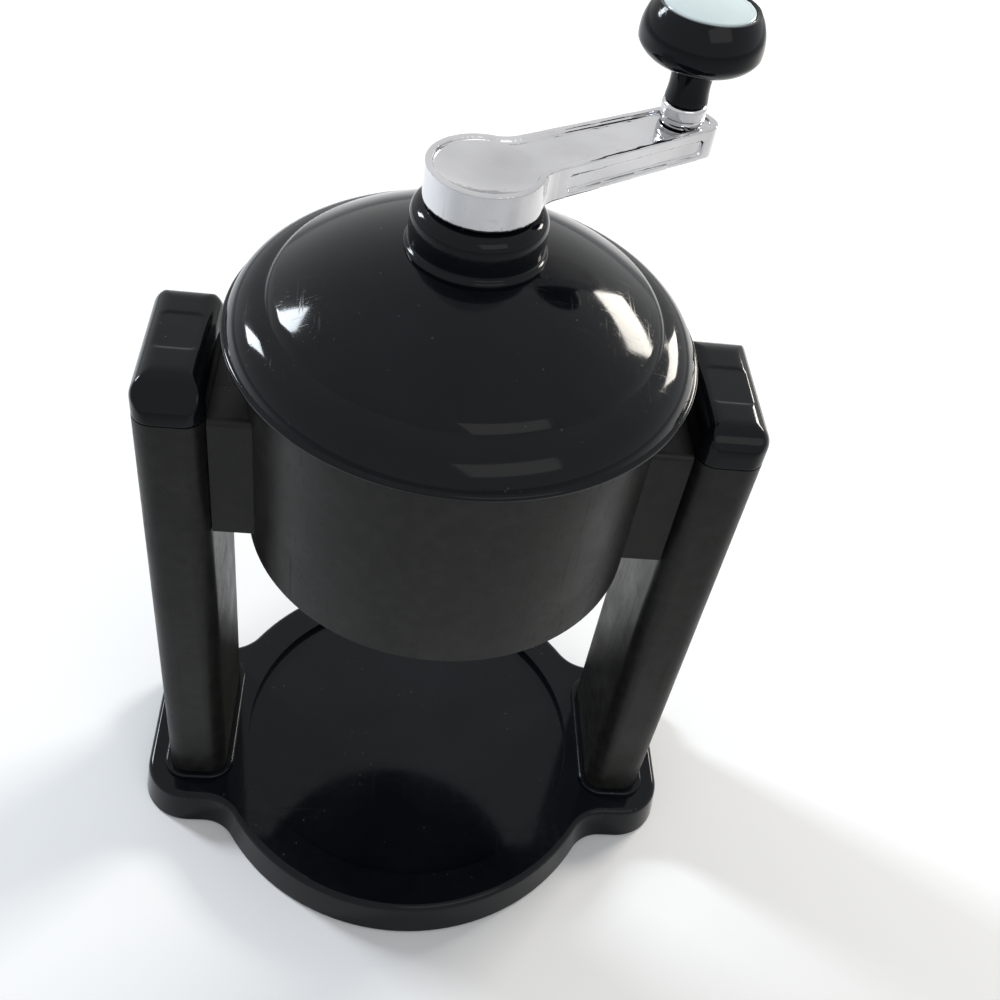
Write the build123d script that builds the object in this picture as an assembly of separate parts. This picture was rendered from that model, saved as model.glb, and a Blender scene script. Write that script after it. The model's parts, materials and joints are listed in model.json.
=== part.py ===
from build123d import *
import math
import os

# Hand cranked ice shaver: a tray with two upright posts carries a hopper; the lid holds the crank, whose
# shaft turns a sprung, spiked press above an adjustable blade. Millimetres, +Z up, the posts stand along X,
# the user stands on the -Y side, and the origin lies under the middle of the tray where the feet stand.

# ---- clearances and fits ----
run_fit = 0.05          # radial, shafts and pins that turn
slide_fit = 0.10        # each side, square bar in its square bore
seat_gap = 0.15         # each side, a moulding seated in another
lift_gap = 0.40         # between faces that pass when something lifts off
end_float = 0.20        # along the axis, between turning faces

# ---- sizes that the rest follows ----
hopper_r = 59.2
hopper_wall = 2.6
lid_over = 6.1          # lid's rim beyond the hopper
post_gap = 2.2          # post beyond the lid's rim
post_w = 20.0
post_d = 50.0
lid_r = hopper_r + lid_over
post_face = lid_r + post_gap
hopper_bore = hopper_r - hopper_wall

# ---- tray ----
seat_over = 2.3         # bowl seat beyond the hopper
tray_rim_w = 14.5
ear_margin = 10.0       # ear beyond the post, outwards
ear_side = 10.5         # and along the ear
seat_r = hopper_r + seat_over
tray_r = seat_r + tray_rim_w
ear_reach = post_face + post_w + ear_margin
ear_half = post_d / 2 + ear_side
tray_h = 14.0
tray_wall = 2.8
tray_plate = 2.6        # under the bowl seat
tray_draft = 7.0        # degrees
tray_edge_r = 2.2
seat_depth = 2.4
ear_corner_r = 17.0
ear_blend_r = 13.0
rib_w = 2.0
rib_count = 8
rib_hub_r = 16.0
foot_r = 7.0
foot_h = 3.2
foot_proud = 1.0
foot_inset = 14.0       # from the foot of the round wall
foot_circle_r = tray_r - foot_inset

# ---- posts and caps ----
post_corner_r = 6.0
post_wall = 2.6
post_top = 187.0        # joint with the cap
post_plug = 20.0        # solid foot that takes the screws
socket_depth = 9.0
socket_rim_w = 2.2
socket_rim_h = 2.0
cap_h = 12.0
cap_front_r = 8.0       # rounding of the cap's front end
cap_rear_r = cap_h - 0.5
cap_side_r = 6.0
cap_spigot = 8.0
cap_panel_l = 16.0
cap_panel_w = 12.5
cap_panel_y = -2.0
cap_panel_deep = 0.6
post_screw_r = 2.0
post_screw_len = 18.0
post_screw_head_r = 3.7
post_screw_head_h = 2.4
post_screw_step = 28.0

# ---- hopper ----
hopper_bottom = 137.4
hopper_top = 209.0
ledge_z = 149.0
ledge_t = 3.0
ledge_w = 6.6
ledge_r = hopper_bore - ledge_w
arm_bottom = 143.5
arm_half = 21.0
arm_wall = 2.6
arm_top_r = 2.0         # rounding of the arm's long top edges
arm_root = 8.0          # start of the arm's box inside the bore
tenon_half = 10.0
tenon_head_half = 15.0
tenon_head_t = 2.8
key_w = 8.0             # lid key in the hopper's rim
key_h = 5.0
key_bite = 1.0          # into the wall
key_reach = 2.0         # inside the wall

# ---- blade floor ----
floor_t = 4.0
floor_screw_r = 1.3
floor_screw_len = 5.6
floor_screw_head_r = 2.4
floor_screw_head_h = 1.6
floor_screw_count = 4
blade_x0 = 8.0          # inner end of the blade
blade_end = 4.0         # short of the ledge
blade_len = ledge_r - blade_x0 - blade_end
blade_w = 16.5
blade_t = 1.0
blade_angle = 35.0      # degrees below level
blade_proud = 0.3       # edge above the floor
bevel_w = 2.4
mouth = 6.0             # gap ahead of the edge
clamp_t = 1.6
clamp_from = 5.0        # from the edge, along the blade
clamp_screw_r = 1.5
clamp_screw_len = 3.4
clamp_screw_head_r = 2.8
clamp_screw_head_h = 1.6
blade_lift = 0.6        # travel of the adjuster
carrier_sink = 1.1      # carrier top below the floor top
carrier_back = 14.0     # carrier reach behind the edge
boss_reach = 25.0       # boss reach behind the edge
boss_half = 10.0
boss_h = 7.0
strap_t = 2.0
strap_leg = 4.0
strap_screw_r = 1.2
strap_screw_head_r = 2.2
strap_screw_head_h = 1.4
adjuster_r = 2.5
adjuster_shoulder_r = 4.0
adjuster_shoulder_h = 1.2
adjuster_knob_r = 9.0
adjuster_knob_h = 6.0
adjuster_flutes = 10
adjuster_flute_r = 1.6

# ---- lid and turret ----
lid_wall = 2.5
rim_z = 208.4           # widest circle of the rim
rim_t = 1.6             # thickness of the rim's edge
flange_w = 10.8         # sloping flange between the rim's edge and the crease
flange_rise = 10.6
flange_bulge_r = 26.0
dome_r = 91.7
lip_in = 2.3            # the lip under the rim stands in
lip_h = 2.4
pad_w = 16.0            # pads that rest on the hopper
turret_r = 17.9
turret_top = 248.6
turret_edge_r = 4.2
turret_lip_out = 0.9
turret_lip_h = 2.0
spigot_r = 13.8
spigot_drop = 3.5       # below the inside of the dome
nut_r = 18.0
nut_h = 2.7
bush_r = 9.5

# ---- crank ----
shaft_r = 6.5
shaft_flange_r = 13.0
shaft_flange_t = 3.0
shaft_bottom = 203.0
bar_w = 7.0             # square press bar
bore_end = 3.0          # solid above the square bore, below the hub
tongue_w = 9.0          # square end held in the hub
tongue_h = 5.5
washer_t = 0.8
hub_r = 15.2
hub_h = 9.8
hub_dish = 2.4
crank_throw = 63.7
crank_turn_deg = 32.8   # where the photographed arm points
arm_t = 9.2
arm_w_root = 19.0
arm_w_tip = 15.2
arm_over = 9.6          # beyond the handle's axis
arm_corner_r = 4.5
arm_blend_r = 8.0       # concave, between the hub and the arm
arm_edge_r = 1.5
arm_rim = 2.4           # raised edge round the sunk top
arm_sunk = 0.7
side_panel_deep = 0.8
side_panel_h = 5.0
side_panel_gap = 3.0    # between the hub and the panel
ferrule_r = 6.2
ferrule_h = 5.4
pin_r = 3.0
pin_head_r = 4.6
pin_head_h = 2.0

# ---- knob ----
neck_r = 5.8
neck_h = 10.6
knob_r = 16.3
knob_h = 14.9
knob_waist = 0.31       # height share of the widest circle
disc_r = 12.0
disc_t = 1.4
disc_crown = 0.7

# ---- press ----
press_travel = 28.0
bar_grip = 11.0         # square guide at the shaft's mouth
stop_head_r = 4.9       # stop screw on top of the bar
stop_head_h = 2.0
stop_screw_r = 1.5
stop_screw_len = 8.0
plate_clear = 9.6       # between the plate and the hopper's bore
plate_r = hopper_bore - plate_clear
plate_t = 3.0
plate_rim_h = 3.0
plate_boss_r = 9.6
plate_boss_h = 6.0
plate_rib_count = 6
bar_seat = 1.5          # plate left under the bar
press_screw_r = 2.0
press_screw_len = 9.0   # inside the bar
press_screw_head_r = 4.6
press_screw_head_h = 2.2
spike_rows = ((0.26, 3), (0.55, 6), (0.84, 9))  # share of the plate's radius, and count
spike_r = 1.6
spike_len = 6.0
spike_clear = 2.6       # spike tips above the floor
spring_r = 11.4         # coil, to the middle of the wire
spring_wire_r = 0.8
spring_turns = 9
spring_end_halves = 2   # half turns closed at each end

# ---- places worked out from the sizes ----
tray_bottom = foot_proud
tray_top = tray_bottom + tray_h
seat_z = tray_top - seat_depth
post_x = post_face + post_w / 2
post_foot = tray_top - socket_depth
arm_end = post_face
floor_z = ledge_z + ledge_t
floor_top = floor_z + floor_t
edge_z = floor_top + blade_proud
rim_edge_r = rim_t / 2
flange_x = lid_r - rim_edge_r
flange_z = rim_z + rim_edge_r
crease_r = flange_x - flange_w
crease_z = flange_z + flange_rise
flange_chord = math.hypot(flange_w, flange_rise)
bulge_back = math.sqrt(flange_bulge_r ** 2 - flange_chord ** 2 / 4)
bulge_x = (flange_x + crease_r) / 2 - bulge_back * flange_rise / flange_chord
bulge_z = (flange_z + crease_z) / 2 - bulge_back * flange_w / flange_chord
dome_z = crease_z - math.sqrt(dome_r ** 2 - crease_r ** 2)
lid_bottom = rim_z - lip_h
dome_inside = dome_z + math.sqrt((dome_r - lid_wall) ** 2 - spigot_r ** 2)
spigot_bottom = dome_inside - spigot_drop
flange_top = spigot_bottom - washer_t - end_float
flange_bottom = flange_top - shaft_flange_t
hub_bottom = turret_top + washer_t + end_float / 2
hub_top = hub_bottom + hub_h
arm_z = hub_top - arm_t
guide_top = shaft_bottom + bar_grip
ferrule_top = hub_top + ferrule_h
plate_z = floor_top + spike_clear + spike_len
plate_top = plate_z + plate_t


def rod(r, z0, z1, x=0.0, y=0.0):
    """Upright round bar between two heights."""
    return Pos(x, y, z0) * Cylinder(r, z1 - z0, align=(Align.CENTER, Align.CENTER, Align.MIN))


def ring(r_out, r_in, z0, z1):
    """Upright round sleeve on the axis."""
    return rod(r_out, z0, z1) - rod(r_in, z0 - 1, z1 + 1)


def brick(x0, x1, y0, y1, z0, z1):
    """Box between two corners."""
    return Pos(x0, y0, z0) * Box(x1 - x0, y1 - y0, z1 - z0, align=(Align.MIN, Align.MIN, Align.MIN))


def prism(outline, z0, z1):
    """Flat outline raised from z0 to z1."""
    return extrude(Pos(0, 0, z0) * outline, z1 - z0)


def turned(*edges):
    """Solid of revolution about Z from edges drawn as (radius, height)."""
    return revolve(make_face([Plane.XZ * edge for edge in edges]), Axis.Z)


def both_sides(shape):
    """A shape at the right-hand post and the same shape at the left-hand post."""
    return shape, Rot(0, 0, 180) * shape


# ---- stand ----
def tray_outline(inset=0.0):
    """Round tray with two ears and concave blends between them."""
    ears = RectangleRounded(2 * (ear_reach - inset), 2 * (ear_half - inset), ear_corner_r - inset)
    outline = Circle(tray_r - inset) + ears
    meet_x = math.sqrt((tray_r - inset) ** 2 - (ear_half - inset) ** 2)
    corners = [v for v in outline.vertices() if abs(abs(v.X) - meet_x) < 0.01]
    return fillet(corners, ear_blend_r + inset)


def post_section(grow=0.0):
    """Plan of a post, grown or shrunk all round."""
    return RectangleRounded(post_w + 2 * grow, post_d + 2 * grow, post_corner_r + grow)


def foot_places():
    """Middles of the four feet."""
    side = foot_circle_r * math.sqrt(0.5)
    return [(sx * side, sy * side) for sy in (-1, 1) for sx in (-1, 1)]


def post_screw_places():
    """Middles of the screws under both posts."""
    half = post_screw_step / 2
    return [(sx * post_x, sy * half) for sx in (-1, 1) for sy in (-1, 1)]


def tray():
    """Tray moulding: rim, bowl seat, post sockets, ribs and foot pockets."""
    body = prism(tray_outline(), tray_bottom, tray_top)
    walls = body.faces().filter_by(Axis.Z, reverse=True)
    body = draft(walls, Plane.XY.offset(tray_bottom), tray_draft)
    body = fillet(body.faces().sort_by(Axis.Z)[-1].edges(), tray_edge_r)
    ceiling = seat_z - tray_plate
    room = prism(tray_outline(tray_wall + tray_h * math.tan(math.radians(tray_draft))), tray_bottom - 1, ceiling)
    for x in (-post_x, post_x):
        room -= Pos(x, 0, 0) * prism(post_section(tray_wall), tray_bottom - 1, ceiling)
    for x, y in foot_places():
        room -= rod(foot_r + tray_wall, tray_bottom - 1, ceiling, x, y)
    hub = ring(rib_hub_r, rib_hub_r - rib_w, tray_bottom - 1, ceiling)
    spoke = brick(rib_hub_r - rib_w / 2, tray_r, -rib_w / 2, rib_w / 2, tray_bottom - 1, ceiling)
    for i in range(rib_count):
        room -= Rot(0, 0, (i + 0.5) * 360 / rib_count) * spoke
    body -= room - hub
    body -= rod(seat_r, seat_z, tray_top + 1)
    for x in (-post_x, post_x):
        rim = prism(post_section(socket_rim_w), tray_top - 1, tray_top + socket_rim_h)
        body += Pos(x, 0, 0) * fillet(rim.faces().sort_by(Axis.Z)[-1].edges(), socket_rim_h / 2.5)
        body -= Pos(x, 0, 0) * prism(post_section(seat_gap), post_foot, tray_top + socket_rim_h + 1)
    for x, y in foot_places():
        body -= rod(foot_r, tray_bottom - 1, foot_h, x, y)
    for x, y in post_screw_places():
        body -= rod(post_screw_r + seat_gap, tray_bottom - 1, post_foot + 1, x, y)
        body -= rod(post_screw_head_r + seat_gap, tray_bottom - 1, tray_bottom + post_screw_head_h, x, y)
    return body


def foot(x, y):
    """Rubber foot with a rounded sole."""
    pad = rod(foot_r, 0, foot_h, x, y)
    return fillet(pad.edges().sort_by(Axis.Z)[0], foot_proud * 0.6)


def round_screw(r, head_r, head_h, length):
    """Screw along +Z, its head below z = 0, with a cross recess."""
    body = rod(head_r, -head_h, 0) + rod(r, 0, length)
    slot = brick(-head_r * 0.6, head_r * 0.6, -head_r * 0.12, head_r * 0.12, -head_h - 1, -head_h * 0.5)
    return body - slot - Rot(0, 0, 90) * slot


def post():
    """Hollow right-hand post with a slot for the hopper's tenon, open at the top."""
    body = prism(post_section(), post_foot, post_top)
    body -= prism(post_section(-post_wall), post_foot + post_plug, post_top + 1)
    slot_half = tenon_half + seat_gap
    body -= brick(-post_w, 0, -slot_half, slot_half, arm_bottom, post_top + 1)
    for side in (-1, 1):
        body -= rod(post_screw_r, post_foot - 1, post_foot + post_plug - 2, 0, side * post_screw_step / 2)
    return Pos(post_x, 0, 0) * body


def post_cap():
    """Right-hand cap: arched top with a shallow panel, and a spigot into the post."""
    top = post_top + cap_h
    half_d = post_d / 2
    half_w = post_w / 2
    skew = math.sqrt(0.5)
    front = (-half_d, top - cap_front_r)
    front_mid = (-half_d + cap_front_r * (1 - skew), top - cap_front_r * (1 - skew))
    rear = (half_d, top - cap_rear_r)
    rear_mid = (half_d - cap_rear_r * (1 - skew), top - cap_rear_r * (1 - skew))
    side = [Line((-half_d, post_top), front), ThreePointArc(front, front_mid, (cap_front_r - half_d, top)),
            Line((cap_front_r - half_d, top), (half_d - cap_rear_r, top)),
            ThreePointArc((half_d - cap_rear_r, top), rear_mid, rear),
            Line(rear, (half_d, post_top)), Line((half_d, post_top), (-half_d, post_top))]
    end = RectangleRounded(post_w, 2 * cap_h, cap_side_r)
    arch = extrude(Plane.YZ * make_face(side), half_w, both=True)
    body = arch & extrude(Plane.XZ * Pos(0, post_top) * end, half_d, both=True)
    body &= prism(post_section(), post_top, top)
    panel = Pos(0, cap_panel_y) * RectangleRounded(cap_panel_w, cap_panel_l, cap_panel_w / 5)
    body -= prism(panel, top - cap_panel_deep, top + 1)
    body += prism(post_section(-post_wall - seat_gap), post_top - cap_spigot, post_top)
    return Pos(post_x, 0, 0) * body


def arm_and_tenon():
    """Right-hand box arm of the hopper, open below, with the tenon that hangs in the post."""
    start = hopper_bore - arm_root
    box = brick(start, arm_end, -arm_half, arm_half, arm_bottom, post_top)
    rims = box.edges().filter_by(Axis.X).sort_by(Axis.Z)[-2:]
    box = fillet(rims, arm_top_r)
    inner = arm_half - arm_wall
    room = brick(start - 1, arm_end - arm_wall, -inner, inner, arm_bottom - 1, post_top - arm_wall)
    room -= brick(start - 2, arm_end, -arm_wall / 2, arm_wall / 2, arm_bottom - 2, post_top)
    box -= room - rod(hopper_r - arm_wall / 4, arm_bottom - 2, post_top + 2)
    head_x = arm_end + post_wall + seat_gap
    head_top = post_top - cap_spigot - seat_gap
    box += brick(arm_end - 1, head_x, -tenon_half, tenon_half, arm_bottom, head_top)
    box += brick(head_x, head_x + tenon_head_t, -tenon_head_half, tenon_head_half, arm_bottom, head_top)
    return box


def key_cutter(grow, z0, z1):
    """Two keys that stand in notches inside the hopper's rim, front and back."""
    half = key_w / 2 + grow
    bar = brick(-half, half, -lid_r, lid_r, z0, z1)
    return bar & ring(hopper_bore + key_bite + grow, hopper_bore - key_reach, z0 - 1, z1 + 1)


def hopper():
    """Round hopper with a ledge for the blade floor and an arm to each post."""
    right, left = both_sides(arm_and_tenon())
    body = rod(hopper_r, hopper_bottom, hopper_top) + right + left
    body -= rod(hopper_bore, floor_z, hopper_top + 1)
    body -= rod(ledge_r, hopper_bottom - 1, floor_z + 1)
    body -= rod(hopper_bore, hopper_bottom - 1, ledge_z)
    body -= key_cutter(seat_gap, hopper_top - key_h, hopper_top + 1)
    for x, y in floor_screw_places():
        body -= rod(floor_screw_r + seat_gap, ledge_z - 1, floor_z + 1, x, y)
    return body


# ---- blade floor ----
def floor_screw_places():
    """Middles of the screws that hold the blade floor down on the ledge."""
    r = (ledge_r + hopper_bore) / 2
    turns = [math.radians(45 + i * 360 / floor_screw_count) for i in range(floor_screw_count)]
    return [(r * math.cos(a), r * math.sin(a)) for a in turns]


def strap_screw_places():
    """Middles of the two screws through the strap's legs."""
    y = (carrier_back + boss_reach) / -2
    return [(x, y) for x in (strap_x0() + strap_leg / 2, strap_x1() - strap_leg / 2)]


def blade_mid():
    """Middle of the blade's length."""
    return blade_x0 + blade_len / 2


def strap_x0():
    """Inner end of the strap under the carrier."""
    return blade_mid() - boss_half - end_float * 2 - strap_leg


def strap_x1():
    """Outer end of the strap under the carrier."""
    return blade_mid() + boss_half + end_float * 2 + strap_leg


def boss_top():
    """Top of the carrier's boss, which keeps clear of the floor when the blade is up."""
    return floor_z - blade_lift - lift_gap


def strap_z():
    """Underside of the strap."""
    return boss_top() - boss_h - adjuster_shoulder_h - 3 * end_float - strap_t


def blade_floor():
    """Floor disc of the hopper with the slot for the blade."""
    body = rod(hopper_bore - seat_gap, floor_z, floor_top)
    slot_x1 = blade_x0 + blade_len + lift_gap
    body -= brick(blade_x0 - lift_gap, slot_x1, -carrier_back - lift_gap, mouth, floor_z - 1, floor_top + 1)
    for x, y in floor_screw_places():
        body -= rod(floor_screw_r, floor_z - 1, floor_z + floor_t - 1, x, y)
    for x, y in strap_screw_places():
        body -= rod(strap_screw_r, floor_z - 1, floor_z + floor_t - 1, x, y)
    return body


def on_blade(shape):
    """Lay a shape drawn flat along the blade: x along the edge, y back from it, z below its seat."""
    return Pos(0, 0, edge_z) * Rot(180 + blade_angle, 0, 0) * shape


def clamp_screw_places():
    """Places of the two blade screws, along the edge and back from it."""
    back = (clamp_from + blade_w) / 2
    return [(blade_x0 + blade_len * share, back) for share in (0.2, 0.8)]


def blade():
    """Steel blade with a bevelled edge and two screw holes."""
    body = brick(blade_x0, blade_x0 + blade_len, 0, blade_w, 0, blade_t)
    bevel = Plane.YZ * make_face(Polyline((-1, blade_t + 1), (-1, 0), (0, 0), (bevel_w, blade_t),
                                          (bevel_w, blade_t + 1), close=True))
    body -= extrude(bevel, blade_x0 + blade_len + 1)
    for x, y in clamp_screw_places():
        body -= rod(clamp_screw_r + seat_gap, -1, blade_t + 1, x, y)
    return on_blade(body)


def blade_clamp():
    """Plate that presses the blade against the carrier."""
    body = brick(blade_x0, blade_x0 + blade_len, clamp_from, blade_w - 0.5, blade_t, blade_t + clamp_t)
    for x, y in clamp_screw_places():
        body -= rod(clamp_screw_r + seat_gap, 0, blade_t + clamp_t + 1, x, y)
    return on_blade(body)


def clamp_screw(x, y):
    """Screw through clamp and blade into the carrier."""
    screw = round_screw(clamp_screw_r, clamp_screw_head_r, clamp_screw_head_h, blade_t + clamp_t + clamp_screw_len)
    return on_blade(Pos(x, y, blade_t + clamp_t) * Rot(180, 0, 0) * screw)


def blade_carrier():
    """Wedge that fills the slot behind the blade, with a boss for the adjusting screw."""
    top = floor_top - carrier_sink
    slope = math.tan(math.radians(blade_angle))
    tip_y = (top - edge_z) / slope
    low = edge_z - carrier_back * slope
    wedge = Plane.YZ * make_face(Polyline((tip_y, top), (-carrier_back, top), (-carrier_back, low), close=True))
    body = Pos(blade_x0, 0, 0) * extrude(wedge, blade_len)
    x0 = blade_mid() - boss_half
    x1 = blade_mid() + boss_half
    low_boss = boss_top() - boss_h
    body += brick(x0, x1, -boss_reach, -carrier_back, low_boss, boss_top())
    for x, y in clamp_screw_places():
        body -= on_blade(rod(clamp_screw_r, -clamp_screw_len, 1, x, y))
    body -= rod(adjuster_r + run_fit, low_boss - 1, boss_top() + 1, blade_mid(), adjuster_y())
    return body


def adjuster_y():
    """Middle of the adjusting screw, behind the blade."""
    return -(carrier_back + boss_reach) / 2


def carrier_strap():
    """U-shaped strap under the carrier that holds the adjusting screw."""
    y0 = -boss_reach
    y1 = -carrier_back - lift_gap
    body = brick(strap_x0(), strap_x1(), y0, y1, strap_z(), floor_z)
    body -= brick(strap_x0() + strap_leg, strap_x1() - strap_leg, y0 - 1, y1 + 1, strap_z() + strap_t, floor_z + 1)
    body -= rod(adjuster_r + run_fit, strap_z() - 1, strap_z() + strap_t + 1, blade_mid(), adjuster_y())
    for x, y in strap_screw_places():
        body -= rod(strap_screw_r + seat_gap, strap_z() - 1, floor_z + 1, x, y)
    return body


def adjuster():
    """Fluted thumb screw under the strap."""
    top = strap_z() - end_float
    knob = rod(adjuster_knob_r, top - adjuster_knob_h, top)
    flute = rod(adjuster_flute_r, top - adjuster_knob_h - 1, top + 1, adjuster_knob_r + adjuster_flute_r / 3)
    for i in range(adjuster_flutes):
        knob -= Rot(0, 0, i * 360 / adjuster_flutes) * flute
    shoulder_z = strap_z() + strap_t + end_float
    stem = rod(adjuster_r, top - 1, boss_top() - 1)
    shoulder = rod(adjuster_shoulder_r, shoulder_z, shoulder_z + adjuster_shoulder_h)
    return Pos(blade_mid(), adjuster_y(), 0) * (knob + stem + shoulder)


# ---- lid ----
def on_flange(inset, x):
    """Height of the flange's face, inset by a wall, at a radius."""
    return bulge_z + math.sqrt((flange_bulge_r - inset) ** 2 - (x - bulge_x) ** 2)


def crease(inset):
    """Radius and height where the flange's face meets the dome's, both inset by a wall."""
    flange = flange_bulge_r - inset
    dome = dome_r - inset
    gap = math.hypot(bulge_x, bulge_z - dome_z)
    lean = math.atan2(dome_z - bulge_z, -bulge_x)
    turn = math.acos((gap ** 2 + flange ** 2 - dome ** 2) / (2 * gap * flange))
    return bulge_x + flange * math.cos(lean - turn), bulge_z + flange * math.sin(lean - turn)


def lid_form(inset, bottom):
    """Solid under the lid's outer face, or under its inner face where it is inset by the wall."""
    meet = crease(inset)
    side = lid_r - lip_in - inset
    start_x = flange_x if inset == 0 else side
    start = (start_x, on_flange(inset, start_x))
    mid_x = (start_x + meet[0]) / 2
    flange_mid = (mid_x, on_flange(inset, mid_x))
    dome_mid = (meet[0] / 2, dome_z + math.sqrt((dome_r - inset) ** 2 - meet[0] ** 2 / 4))
    top = (0, dome_z + dome_r - inset)
    edges = [ThreePointArc(start, flange_mid, meet), ThreePointArc(meet, dome_mid, top), Line(top, (0, bottom))]
    edges.append(Line((0, bottom), (side, bottom)))
    if inset == 0:
        under = rim_z - rim_edge_r
        edges.append(Line((side, bottom), (side, under)))
        edges.append(Line((side, under), (flange_x, under)))
        edges.append(ThreePointArc((flange_x, under), (lid_r, rim_z), start))
    else:
        edges.append(Line((side, bottom), start))
    return turned(*edges)


def lid():
    """Lid shell with a hole for the turret, two keys and four pads for the hopper's rim."""
    body = lid_form(0, lid_bottom) - lid_form(lid_wall, lid_bottom - 1)
    body -= rod(spigot_r + seat_gap, lid_bottom, turret_top)
    high = crease_z
    inner = lid_form(lid_wall / 2, hopper_top - key_h)
    pads = brick(-pad_w / 2, pad_w / 2, -lid_r, lid_r, hopper_top, high)
    pads += Rot(0, 0, 90) * pads
    pads &= ring(hopper_r - seat_gap, hopper_bore - key_reach, hopper_top, high)
    keys = key_cutter(0, hopper_top - key_h + lift_gap, high)
    return body + (pads & inner) + (keys & inner)


def turret():
    """Collar on the dome: bottom lip, rounded shoulder and a spigot through the dome."""
    seat = dome_z + math.sqrt(dome_r ** 2 - (turret_r + turret_lip_out) ** 2)
    body = rod(turret_r, seat - 1, turret_top)
    body = fillet(body.edges().sort_by(Axis.Z)[-1], turret_edge_r)
    lip = rod(turret_r + turret_lip_out, seat - 1, seat + turret_lip_h)
    body += fillet(lip.edges().sort_by(Axis.Z)[-1], turret_lip_out * 0.8)
    body -= lid_form(0, lid_bottom)
    body += rod(spigot_r, spigot_bottom, turret_top - turret_edge_r)
    return body - rod(bush_r, spigot_bottom - 1, turret_top + 1)


def turret_nut():
    """Ring nut that holds the turret from inside the dome."""
    body = ring(nut_r, spigot_r, spigot_bottom, spigot_bottom + nut_h)
    for i in range(6):
        body -= Rot(0, 0, i * 60) * rod(1.5, spigot_bottom - 1, spigot_bottom + nut_h + 1, nut_r)
    return body


# ---- crank ----
def arm_outline(inset=0.0):
    """Plan of hub and arm in one, with the arm along +X and concave blends between them."""
    root_half = arm_w_root / 2
    tip_half = arm_w_tip / 2
    tip_x = crank_throw + arm_over
    arm = make_face(Polyline((0, -root_half), (tip_x, -tip_half), (tip_x, tip_half), (0, root_half), close=True))
    arm = fillet(arm.vertices().sort_by(Axis.X)[-2:], arm_corner_r)
    outline = Circle(hub_r) + arm
    joint = [v for v in outline.vertices() if 1 < v.X < hub_r]
    outline = fillet(joint, arm_blend_r)
    return offset(outline, -inset) if inset else outline


def crank_arm():
    """Cast crank: dished hub and sunk arm in one raised edge, side panels, hole for the handle's pin."""
    body = prism(arm_outline(), arm_z, hub_top)
    body = fillet(body.faces().sort_by(Axis.Z)[-1].edges(), arm_edge_r)
    body += rod(hub_r, hub_bottom, arm_z + 1)
    body -= prism(arm_outline(arm_rim), hub_top - arm_sunk, hub_top + 1)
    dish_r = hub_r - arm_rim
    ball_r = (dish_r ** 2 + hub_dish ** 2) / (2 * hub_dish)
    body -= Pos(0, 0, hub_top - arm_sunk - hub_dish + ball_r) * Sphere(ball_r) & rod(dish_r, arm_z, hub_top + 1)
    panel_z = (arm_z + hub_top - side_panel_h) / 2 - 0.2
    lean = math.degrees(math.atan2((arm_w_root - arm_w_tip) / 2, crank_throw))
    panel_x0 = hub_r + side_panel_gap
    panel = brick(panel_x0, crank_throw, -side_panel_deep, side_panel_deep, panel_z, panel_z + side_panel_h)
    for side in (-1, 1):
        body -= Pos(0, side * arm_w_root / 2, 0) * Rot(0, 0, -side * lean) * panel
    body += rod(ferrule_r, arm_z, hub_top, crank_throw)
    body -= rod(pin_r, arm_z - 1, hub_top + 1, crank_throw)
    half = tongue_w / 2
    body -= brick(-half, half, -half, half, hub_bottom - 1, hub_bottom + tongue_h)
    return turn_out(body)


def turn_out(shape):
    """Swing a shape drawn with the arm along +X to where the arm points."""
    return Rot(0, 0, crank_turn_deg) * shape


def ferrule():
    """Bright collar under the knob's neck."""
    body = turned(
        Line((pin_r, hub_top), (ferrule_r - 0.4, hub_top)),
        Line((ferrule_r - 0.4, hub_top), (ferrule_r, hub_top + 1.2)),
        Line((ferrule_r, hub_top + 1.2), (ferrule_r, ferrule_top - 0.8)),
        Line((ferrule_r, ferrule_top - 0.8), (ferrule_r - 0.3, ferrule_top)),
        Line((ferrule_r - 0.3, ferrule_top), (pin_r, ferrule_top)),
        Line((pin_r, ferrule_top), (pin_r, hub_top)))
    return turn_out(Pos(crank_throw, 0, 0) * body)


def handle_pin():
    """Steel pin pressed through the arm, headed inside the knob."""
    shank_top = knob_z() + neck_h + knob_h * 0.5
    body = rod(pin_r, arm_z, shank_top) + rod(pin_head_r, shank_top, shank_top + pin_head_h)
    return turn_out(Pos(crank_throw, 0, 0) * body)


def knob_z():
    """Bottom of the knob's neck."""
    return ferrule_top + end_float


def knob():
    """Mushroom knob on its neck, hollow above the pin's head and sunk for the disc."""
    z0 = knob_z()
    under = z0 + neck_h
    widest = under + knob_h * knob_waist
    top = under + knob_h
    brow_r = knob_r - 3.0
    body = turned(
        Line((0, z0), (neck_r + 0.1, z0)),
        Line((neck_r + 0.1, z0), (neck_r - 0.2, under - 1)),
        Line((neck_r - 0.2, under - 1), (neck_r + 1.6, under + 0.4)),
        ThreePointArc((neck_r + 1.6, under + 0.4), (brow_r, under + 1.2), (knob_r, widest)),
        ThreePointArc((knob_r, widest), (knob_r - 0.9, top - 3.6), (disc_r + 0.8, top)),
        Line((disc_r + 0.8, top), (0, top)),
        Line((0, top), (0, z0)))
    pocket_top = top - disc_t
    shank_top = z0 + neck_h + knob_h * 0.5
    body -= rod(disc_r + seat_gap, pocket_top, top + 1)
    body -= rod(pin_r + run_fit, z0 - 1, shank_top + 1)
    body -= rod(pin_head_r + lift_gap, shank_top - end_float, pocket_top + 1)
    return turn_out(Pos(crank_throw, 0, 0) * body)


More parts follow.
